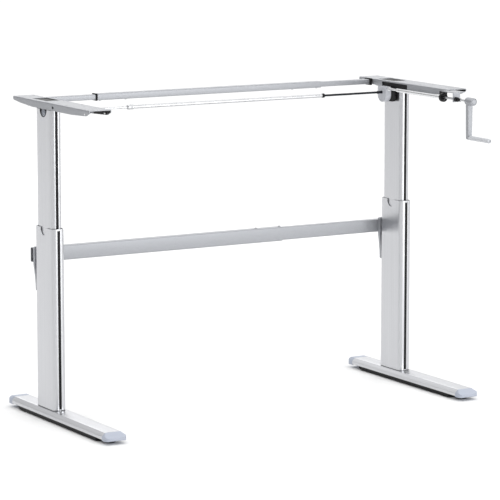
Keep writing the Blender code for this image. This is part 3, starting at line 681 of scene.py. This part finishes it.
RAIL_WALL = 0.0025
RAIL_BEND = 0.0034
OPENING_REACH = (0.022, 0.030)
OPENING_LENGTH = 0.107
OPENING_BACK = 0.0235
WINDOW_LENGTH = 0.163
WINDOW_FRONT = 0.0455
WINDOW_DROP = 0.0055
SLOT_SIZE = (0.013, 0.008)
SLOT_FRONT = 0.1121
SLOT_Z = 1.0712
DESKTOP_HOLE_R = 0.0035
DESKTOP_HOLES = ((-0.028, -0.19), (0.028, -0.19), (-0.028, 0.165), (0.028, 0.165))
SCREW_BACK = 0.036
SCREW_Z = 1.0705
SCREW_SEAT_R = 0.0036
for side, inner in (("left", 1), ("right", -1)):
    low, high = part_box(f"{side}_top_rail")
    x, half = leg_x[side], (high.x - low.x) / 2
    section = channel_section(x, half, low.z, high.z, RAIL_WALL, RAIL_BEND)
    rail = prism(f"{side}_rail", [section], "Y", low.y, high.y)
    side_view = rail_side_view(low, high)
    taper = prism(f"{side}_rail_taper", [side_view], "X", low.x - 0.01, high.x + 0.01)
    carve(rail, [taper], "INTERSECT")
    edges = sorted((x - inner * OPENING_REACH[0], x + inner * OPENING_REACH[1]))
    middle = (sum(edges) / 2, column_y + OPENING_BACK)
    outline = rounded(edges[1] - edges[0], OPENING_LENGTH, 0.003, middle, 5)
    opening = prism(f"{side}_rail_opening", [outline], "Z", high.z - 0.01, high.z + 0.01)
    middle = (column_y - WINDOW_FRONT, (low.z - 0.01 + high.z - WINDOW_DROP) / 2)
    outline = rounded(WINDOW_LENGTH, high.z - WINDOW_DROP - low.z + 0.01, 0.003, middle, 5)
    walls = sorted((x + inner * (half - 0.008), x + inner * (half + 0.005)))
    window = prism(f"{side}_rail_window", [outline], "X", *walls)
    far = sorted((x - inner * (half - 0.008), x - inner * (half + 0.005)))
    outline = rounded(*SLOT_SIZE, 0.0039, (column_y - SLOT_FRONT, SLOT_Z), 8)
    slot = prism(f"{side}_rail_slot", [outline], "X", *far)
    holes = []
    for i, (u, v) in enumerate(DESKTOP_HOLES):
        outline = arc((x + u, column_y + v), DESKTOP_HOLE_R, 0, 345, 23)
        holes.append(prism(f"{side}_rail_hole_{i}", [outline], "Z", 1.07, 1.10))
    seats = []
    for i, way in enumerate((1, -1)):
        outline = arc((low.y + SCREW_BACK, SCREW_Z), SCREW_SEAT_R, 0, 345, 23)
        across = sorted((x + way * (half - 0.008), x + way * (half + 0.004)))
        seats.append(prism(f"{side}_screw_seat_{i}", [outline], "X", *across))
    carve(rail, [opening, window, slot, *holes, *seats])
    soften(rail, 0.3, 2, 40)
    fit(rail, f"{side}_top", [f"{side}_top_rail"], coat)

# ---------------------------------------------------------------------------------------------
# Rail end liners. Moulded black channels that line each rail's front end, each held by two small
# screws that sit flush in the rail's walls. The liners' black is painted shade: it stands in for the
# shade inside the open channel. The screws' passivated zinc is nearly white and matt.
SHADE_LINER_LENGTH = 0.118
SHADE_LINER_SETBACK = 0.0012
SHADE_LINER_INSET = 0.0028
screw_zinc = zinc_plate("passivated_zinc", "#E6E7E8", "#F2F2F3", 0.15)
for side in SIDES:
    low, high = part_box(f"{side}_top_rail")
    x, half = leg_x[side], (high.x - low.x) / 2 - SHADE_LINER_INSET
    section = channel_section(x, half, low.z, high.z - SHADE_LINER_INSET, 0.0018, 0.0024)
    start, end = low.y + SHADE_LINER_SETBACK, low.y + SHADE_LINER_LENGTH
    shade_liner = prism(f"{side}_rail_shade_liner", [section], "Y", start, end)
    view = [(y + SHADE_LINER_SETBACK if y < 0 else y, z + 0.0010) for y, z in rail_side_view(low, high)]
    taper = prism(f"{side}_shade_liner_taper", [view], "X", low.x - 0.01, high.x + 0.01)
    carve(shade_liner, [taper], "INTERSECT")
    soften(shade_liner, 0.3, 2, 40)
    # The liner's black is painted shade for the shaded inside of the rail's front end.
    fit(shade_liner, f"{side}_top", [], head_plastic)
    for i, way in enumerate((1, -1)):
        reach = (high.x - low.x) / 2
        profile = [
            (0, reach - 0.0012),
            (0.0016, reach - 0.0012),
            (0.0019, reach - 0.0003),
            (0.0033, reach - 0.0002),
            (0.0033, reach - 0.0024),
            (0.0024, reach - 0.0034),
            (0.0024, reach - 0.0052),
            (0.0032, reach - 0.0054),
            (0.0032, reach - 0.0074),
            (0.0020, reach - 0.0086),
            (0, reach - 0.0088),
        ]
        profile = [(r, way * w) for r, w in profile]
        at = (x, low.y + SCREW_BACK, SCREW_Z)
        screw = turned(f"{side}_rail_end_screw_{i}", profile, "X", at, 28)
        soften(screw, 0.15, 2)
        fit(screw, f"{side}_top", [], screw_zinc)

# ---------------------------------------------------------------------------------------------
# Upper crossbar. A rectangular sleeve over two thinner tubes, all steel and powder coated silver,
# with a moulded collar at its left end, a moulded flange on the right rail and clamp screws below.
TUBE_FIT = 0.0006
for node, body, radius, wall in (
    ("crossbar_sleeve", "left_top", 0.003, 0.0019),
    ("crossbar_left_tube", "left_top", 0.0022, 0.0015),
    ("crossbar_right_tube", "right_top", 0.0022, 0.0015),
):
    tube = rect_tube(node + "_section", *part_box(node), radius, wall)
    soften(tube, 0.25, 2, 40)
    fit(tube, body, [node], coat)
for node, body in (("crossbar_collar", "left_top"), ("crossbar_flange", "right_top")):
    low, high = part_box(node)
    core_low, core_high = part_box("crossbar_left_tube")
    middle = ((core_low.y + core_high.y) / 2, (core_low.z + core_high.z) / 2)
    deep, tall = core_high.y - core_low.y + TUBE_FIT, core_high.z - core_low.z + TUBE_FIT
    hole = rounded(deep, tall, 0.0023, middle, 6)
    middle = ((low.y + high.y) / 2, (low.z + high.z) / 2)
    outline = rounded(high.y - low.y, high.z - low.z, 0.003, middle, 6)
    whole = prism(node + "_body", [outline], "X", low.x, high.x)
    carve(whole, [prism(node + "_core", [hole], "X", low.x - 0.01, high.x + 0.01)])
    soften(whole, 0.5, 3)
    fit(whole, body, [node], seal_plastic)
for i in (1, 2, 3, 4):
    clamp_screw(f"sleeve_clamp_screw_{i}", f"crossbar_screw_{i}", "left_top", bright_zinc, -1)

# ---------------------------------------------------------------------------------------------
# Cross shaft. A zinc-plated rod from the left gear head, a turned coupling, a drawn tube, a black
# bush in its end, and the hexagonal bar that slides in it from the right leg.
ROD_R, TUBE_R = 0.004, 0.0065
GRUB_R = 0.0021
SHAFT_FIT = 0.0003
line = (leg_x["left"], column_y, SHAFT_Z)
gear = [(0.006, 0.0142), (0.006, 0.0128), (0.0118, 0.0125), (0.0038, 0.0045), (0, 0.0045)]
rod_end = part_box("cross_shaft_rod")[1].x - leg_x["left"]
profile = [(0, rod_end), (ROD_R - 0.0005, rod_end), (ROD_R, rod_end - 0.0005)]
profile += [(ROD_R, 0.0142), *gear]
rod = soften(turned("left_shaft_rod", profile, "X", line), 0.15, 2)
fit(rod, "cross_shaft", ["cross_shaft_rod"], bright_zinc)

low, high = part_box("shaft_coupling")
start, end, wide = low.x - line[0], high.x - line[0], (high.z - low.z) / 2
profile = [
    (ROD_R + SHAFT_FIT, start),
    (wide - 0.0012, start),
    (wide, start + 0.0012),
    (wide, start + 0.0075),
    (wide - 0.0011, start + 0.0082),
    (wide - 0.0011, start + 0.0112),
    (wide, start + 0.0119),
    (wide, end - 0.0016),
    (wide - 0.0016, end),
    (ROD_R + SHAFT_FIT, end),
]
coupling = turned("turned_shaft_coupling", profile, "X", line)
grub = (line[0] + start + 0.0155, line[1] - wide, SHAFT_Z)
outline = arc((grub[0], SHAFT_Z), GRUB_R, 0, 340, 17)
hole = prism("grub_screw_hole", [outline], "Y", grub[1] - 0.002, grub[1] + 0.002)
soften(carve(coupling, [hole]), 0.15, 2)
fit(coupling, "cross_shaft", ["shaft_coupling"], bright_zinc)


def sleeve_profile(inner, outer, start, end, chamfer):
    """A plain tube with chamfered ends."""
    return [
        (inner, start),
        (outer - chamfer, start),
        (outer, start + chamfer),
        (outer, end - chamfer),
        (outer - chamfer, end),
        (inner, end),
    ]


for node, name, inner, finish, slot in (
    ("cross_shaft_tube", "drawn_shaft_tube", 0.0047, bright_zinc, "zinc_plated_steel"),
    ("shaft_bush", "tube_end_bush", 0.0044, head_plastic, "black_plastic"),
):
    low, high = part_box(node)
    outer = (high.z - low.z) / 2
    profile = sleeve_profile(inner, outer, low.x - line[0], high.x - line[0], 0.0006)
    piece = soften(turned(name, profile, "X", line), 0.15, 2)
    fit(piece, "cross_shaft", [node], finish)


def blackened_steel(name):
    """Drawn bar with a black oxide finish, nearly dry of oil."""
    material, tree, shader = new_finish(name, Metallic=1.0)
    streak = grain(tree, (300, 0.8, 0.8), 3.0)
    tint(tree, shader, streak.outputs["Fac"], "#232427", "#33353A")
    vary_roughness(tree, shader, streak.outputs["Fac"], 0.32, 0.5)
    emboss(tree, shader, streak.outputs["Fac"], 0.02, 0.3)
    return material


HEXAGON_FLAT = 0.0035
low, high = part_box("hex_shaft")
corner = HEXAGON_FLAT / math.cos(math.radians(30))
start_angle = 0 if high.y - low.y > high.z - low.z else 30
hexagon = arc((column_y, SHAFT_Z), corner, start_angle, start_angle + 300, 5)
right_x = leg_x["right"]
bar = prism("hexagon_bar", [hexagon], "X", low.x, right_x - 0.0800)
sleeve = [(0, -0.0613), (0.0045, -0.0613), (0.0050, -0.0618)]
sleeve += [(0.0050, -0.0838), (0.0045, -0.0843), (0, -0.0843)]
carve(bar, [turned("hexagon_sleeve", sleeve, "X", (right_x, column_y, SHAFT_Z))], "UNION")
soften(bar, 0.25, 2)
fit(bar, "sliding_hex_shaft", ["hex_shaft"], blackened_steel("black_oxide_hexagon"))

# ---------------------------------------------------------------------------------------------
# Crank. The drum on the right gear head turns the crank's pull through a right angle; its shaft runs
# along the rail in a clamp and a bracket to the arm and the grip at the front.
DRUM_R = 0.027
DRUM_Z = 1.038
DRUM_BEND = 0.004
CRANK_IN = 0.0533
CRANK_Z = 1.0588
housing_paint = moulded_grey("painted_zinc_casting", "#B3B5BB", "#BDBFC5", 0.34)
crank_at = (right_x - CRANK_IN, column_y, CRANK_Z)
low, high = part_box("gearbox_drum")
shoulder_y, shoulder_z = 0.023, high.z - DRUM_BEND
outline = arc((column_y, DRUM_Z), DRUM_R, 180, 360, 40)
outline += arc((column_y + shoulder_y, shoulder_z), DRUM_BEND, 0, 90, 6)
outline += arc((column_y - shoulder_y, shoulder_z), DRUM_BEND, 90, 180, 6)
drum = prism("mitre_gear_drum", [outline], "X", low.x, high.x)
groove = [(0.0215, -0.001), (0.0225, -0.001), (0.0225, 0.0008), (0.0215, 0.0008)]
drum_at = (low.x, column_y, DRUM_Z)
tools = [turned("drum_face_groove", groove, "X", drum_at)]
for i, (y, z) in enumerate(((-0.0165, 1.0455), (0.0165, 1.0455), (0, 1.0200))):
    seat = arc((column_y + y, z), 0.0024, 0, 345, 23)
    tools.append(prism(f"drum_screw_seat_{i}", [seat], "X", low.x - 0.001, low.x + 0.0012))
for name, radius, end in (("hole", 0.0055, low.x + 0.0034), ("bore", 0.0045, high.x + 0.01)):
    outline = arc((column_y, SHAFT_Z), radius, 0, 350, 35)
    tools.append(prism(f"drum_shaft_{name}", [outline], "X", low.x - 0.01, end))
bore = [(0, -0.05), (0.0045, -0.05), (0.0045, 0.0152), (0, 0.0152)]
tools.append(turned("drum_crank_bore", bore, "Y", crank_at))
carve(drum, tools)
soften(drum, 0.7, 3, 50)
fit(drum, "right_top", ["gearbox_drum"], housing_paint)

low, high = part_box("crank_clamp")
ring_profile = [(0.0043, 0), (0.0145, 0), (0.0155, 0.001), (0.0155, 0.011)]
ring_profile += [(0.0145, 0.012), (0.0068, 0.012), (0.0068, 0.0075), (0.0043, 0.0075)]
clip = turned("tube_clip", ring_profile, "Y", (crank_at[0], low.y, crank_at[2]))
spokes = []
for i in range(3):
    start, end = 120 * i + 20, 120 * i + 100
    window = arc((crank_at[0], crank_at[2]), 0.0128, start, end, 10)
    window += arc((crank_at[0], crank_at[2]), 0.0084, end, start, 10)
    spokes.append(prism(f"tube_clip_window_{i}", [window], "Y", low.y - 0.01, low.y + 0.02))
carve(clip, spokes)
corners = (right_x - 0.0500, low.y + 0.0002, 1.0668), (right_x - 0.0403, high.y, high.z)
carve(clip, [block("tube_clip_lug", *corners)], "UNION")
soften(clip, 0.6, 3, 40)
fit(clip, "right_top", ["crank_clamp"], head_plastic)

low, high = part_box("crank_bearing")
profile = sleeve_profile(ROD_R + 0.0004, 0.008, high.y - column_y - 0.0122, high.y - column_y, 0.001)
flange = turned("front_bearing", profile, "Y", crank_at)
profile = sleeve_profile(ROD_R + 0.0004, 0.00525, low.y - column_y, high.y - column_y - 0.012, 0.0006)
nose = turned("front_bearing_nose", profile, "Y", crank_at)
carve(flange, [nose], "UNION")
soften(flange, 0.2, 2)
fit(flange, "right_top", ["crank_bearing"], head_plastic)
dress("crank_bracket", coat)

bright_tube = zinc_plate("bright_drawn_tube", "#D8D9DA", "#E4E5E6")
profile = [
    (0, 0.0147),
    (ROD_R - 0.0005, 0.0147),
    (ROD_R, 0.0142),
    (ROD_R, -0.0276),
    (TUBE_R, -0.0276),
    (TUBE_R, -0.0310),
    (ROD_R, -0.0310),
    (ROD_R, -0.0820),
    (TUBE_R - 0.0008, -0.0820),
    (TUBE_R, -0.0828),
    (TUBE_R, -0.3714),
    (TUBE_R - 0.0006, -0.3720),
    (0.0046, -0.3720),
    (0.0046, -0.0900),
    (0, -0.0900),
]
tube = soften(turned("crank_shaft_tube", profile, "Y", crank_at), 0.15, 2)
fit(tube, "crank_drive", ["crank_tube"], bright_tube)

low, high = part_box("crank_rod")
start, end = low.y - column_y, high.y - column_y
profile = [(0, start), (ROD_R - 0.0006, start), (ROD_R, start + 0.0006)]
profile += [(ROD_R, end - 0.0006), (ROD_R - 0.0006, end), (0, end)]
rod = soften(turned("crank_pull_rod", profile, "Y", crank_at), 0.15, 2)
fit(rod, "crank_handle", ["crank_rod"], bright_zinc)

low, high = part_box("crank_arm")
CRANK_THROW = 0.1248
HUB_BACK = -0.520
PIN_END = -0.6515
profile = [
    (0, HUB_BACK),
    (0.0110, HUB_BACK),
    (0.0130, HUB_BACK - 0.0020),
    (0.0130, -0.5590),
    (0.0120, -0.5604),
    (0.0104, -0.5610),
    (0.0100, -0.5600),
    (0.0086, -0.5600),
    (0.0080, -0.5610),
    (0, -0.5610),
]
hub = turned("crank_lever", profile, "Y", crank_at, 64)
outline = arc((0, 0), 0.0093, 180, 0, 12) + arc((0, -CRANK_THROW), 0.0075, 0, -180, 14)
outline = [(crank_at[0] + u, crank_at[2] + w) for u, w in outline]
lever = prism("crank_lever_bar", [outline], "Y", column_y - 0.5404, column_y - 0.5250)
pin = [(0, -0.535), (ROD_R, -0.535), (ROD_R, PIN_END), (0, PIN_END)]
pin_at = (crank_at[0], column_y, crank_at[2] - CRANK_THROW)
carve(hub, [lever, turned("crank_lever_pin", pin, "Y", pin_at)], "UNION")
bore_start, bore_end = HUB_BACK + 0.01, -0.545
bore = [(0, bore_start), (ROD_R + SHAFT_FIT, bore_start), (ROD_R + SHAFT_FIT, bore_end), (0, bore_end)]
carve(hub, [turned("crank_lever_bore", bore, "Y", crank_at)])
soften(hub, 0.9, 3, 40)
fit(hub, "crank_handle", ["crank_arm"], coat)

low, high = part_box("crank_grip")
back, front, wide = high.y - column_y, low.y - column_y, (high.z - low.z) / 2
profile = [
    (ROD_R + SHAFT_FIT, back),
    (wide - 0.0012, back),
    (wide, back - 0.0012),
    (wide - 0.0003, back - 0.030),
    (wide - 0.0003, front + 0.030),
    (wide, front + 0.006),
    (wide - 0.0006, front + 0.0022),
    (wide - 0.0020, front + 0.0002),
    (wide - 0.0032, front),
    (wide - 0.0040, front + 0.0012),
    (wide - 0.0042, front + 0.0045),
    (0, front + 0.0045),
    (0, front + 0.0055),
    (ROD_R + SHAFT_FIT, front + 0.0055),
]
grip_plastic = moulded_grey("grip_polyamide", "#C2C4C8", "#CCCED2", 0.38)
grip = soften(turned("turning_grip", profile, "Y", pin_at, 64), 0.25, 2)
fit(grip, "handle_grip", ["crank_grip"], grip_plastic)

# ---------------------------------------------------------------------------------------------
# Studio. A wide pale floor under an overcast white sky that is brightest overhead, with a large
# soft box in front on the right and a wider one high behind.
FLOOR_HALF = 60
floor_material, tree, shader = new_finish("studio_floor", Roughness=0.9, Specular_IOR_Level=0.0)
speckle = grain(tree, (40, 40, 40), 2.0)
tint(tree, shader, speckle.outputs["Fac"], "#F1F1F1", "#F3F3F3")
floor = block("studio_floor", (-FLOOR_HALF, -FLOOR_HALF, -0.02), (FLOOR_HALF, FLOOR_HALF, 0))
floor.data.materials.append(floor_material)

world = bpy.data.worlds.new("studio_sky")
bpy.context.scene.world = world
world.use_nodes = True
sky = world.node_tree
background = sky.nodes["Background"]
place = add(sky, "ShaderNodeTexCoord")
way = add(sky, "ShaderNodeSeparateXYZ", {"Vector": place.outputs["Generated"]})
up = add(
    sky,
    "ShaderNodeMapRange",
    {"Value": way.outputs["Z"]},
    interpolation_type="SMOOTHSTEP",
    From_Min=0.0,
    From_Max=0.85,
    To_Min=0.10,
    To_Max=1.50,
)
sky.links.new(up.outputs["Result"], background.inputs["Strength"])
background.inputs["Color"].default_value = linear("#FFFFFF")


def soft_box(name, place, aim, size, power):
    lamp = bpy.data.lights.new(name, "AREA")
    lamp.shape = "RECTANGLE"
    lamp.size, lamp.size_y = size
    lamp.energy = power
    obj = bpy.data.objects.new(name, lamp)
    obj.location = place
    obj.rotation_euler = (Vector(aim) - Vector(place)).to_track_quat("-Z", "Y").to_euler()
    bpy.context.scene.collection.objects.link(obj)


soft_box("front_box", (2.3, -5.6, 1.5), (0, 0, 0.6), (2.4, 2.2), 118)
soft_box("rear_box", (3.0, 7.0, 3.2), (0, 0, 1.0), (5.0, 2.4), 60)

camera = bpy.data.objects.new("camera", bpy.data.cameras.new("camera"))
camera.data.sensor_width = 36
camera.data.lens = 206.32
camera.location = (-4.9244, -8.3743, 2.0589)
camera.rotation_euler = (math.radians(90 - 8.8249), 0, math.radians(-30.2977))
bpy.context.scene.collection.objects.link(camera)
bpy.context.scene.camera = camera
bpy.context.scene.view_settings.view_transform = "Standard"
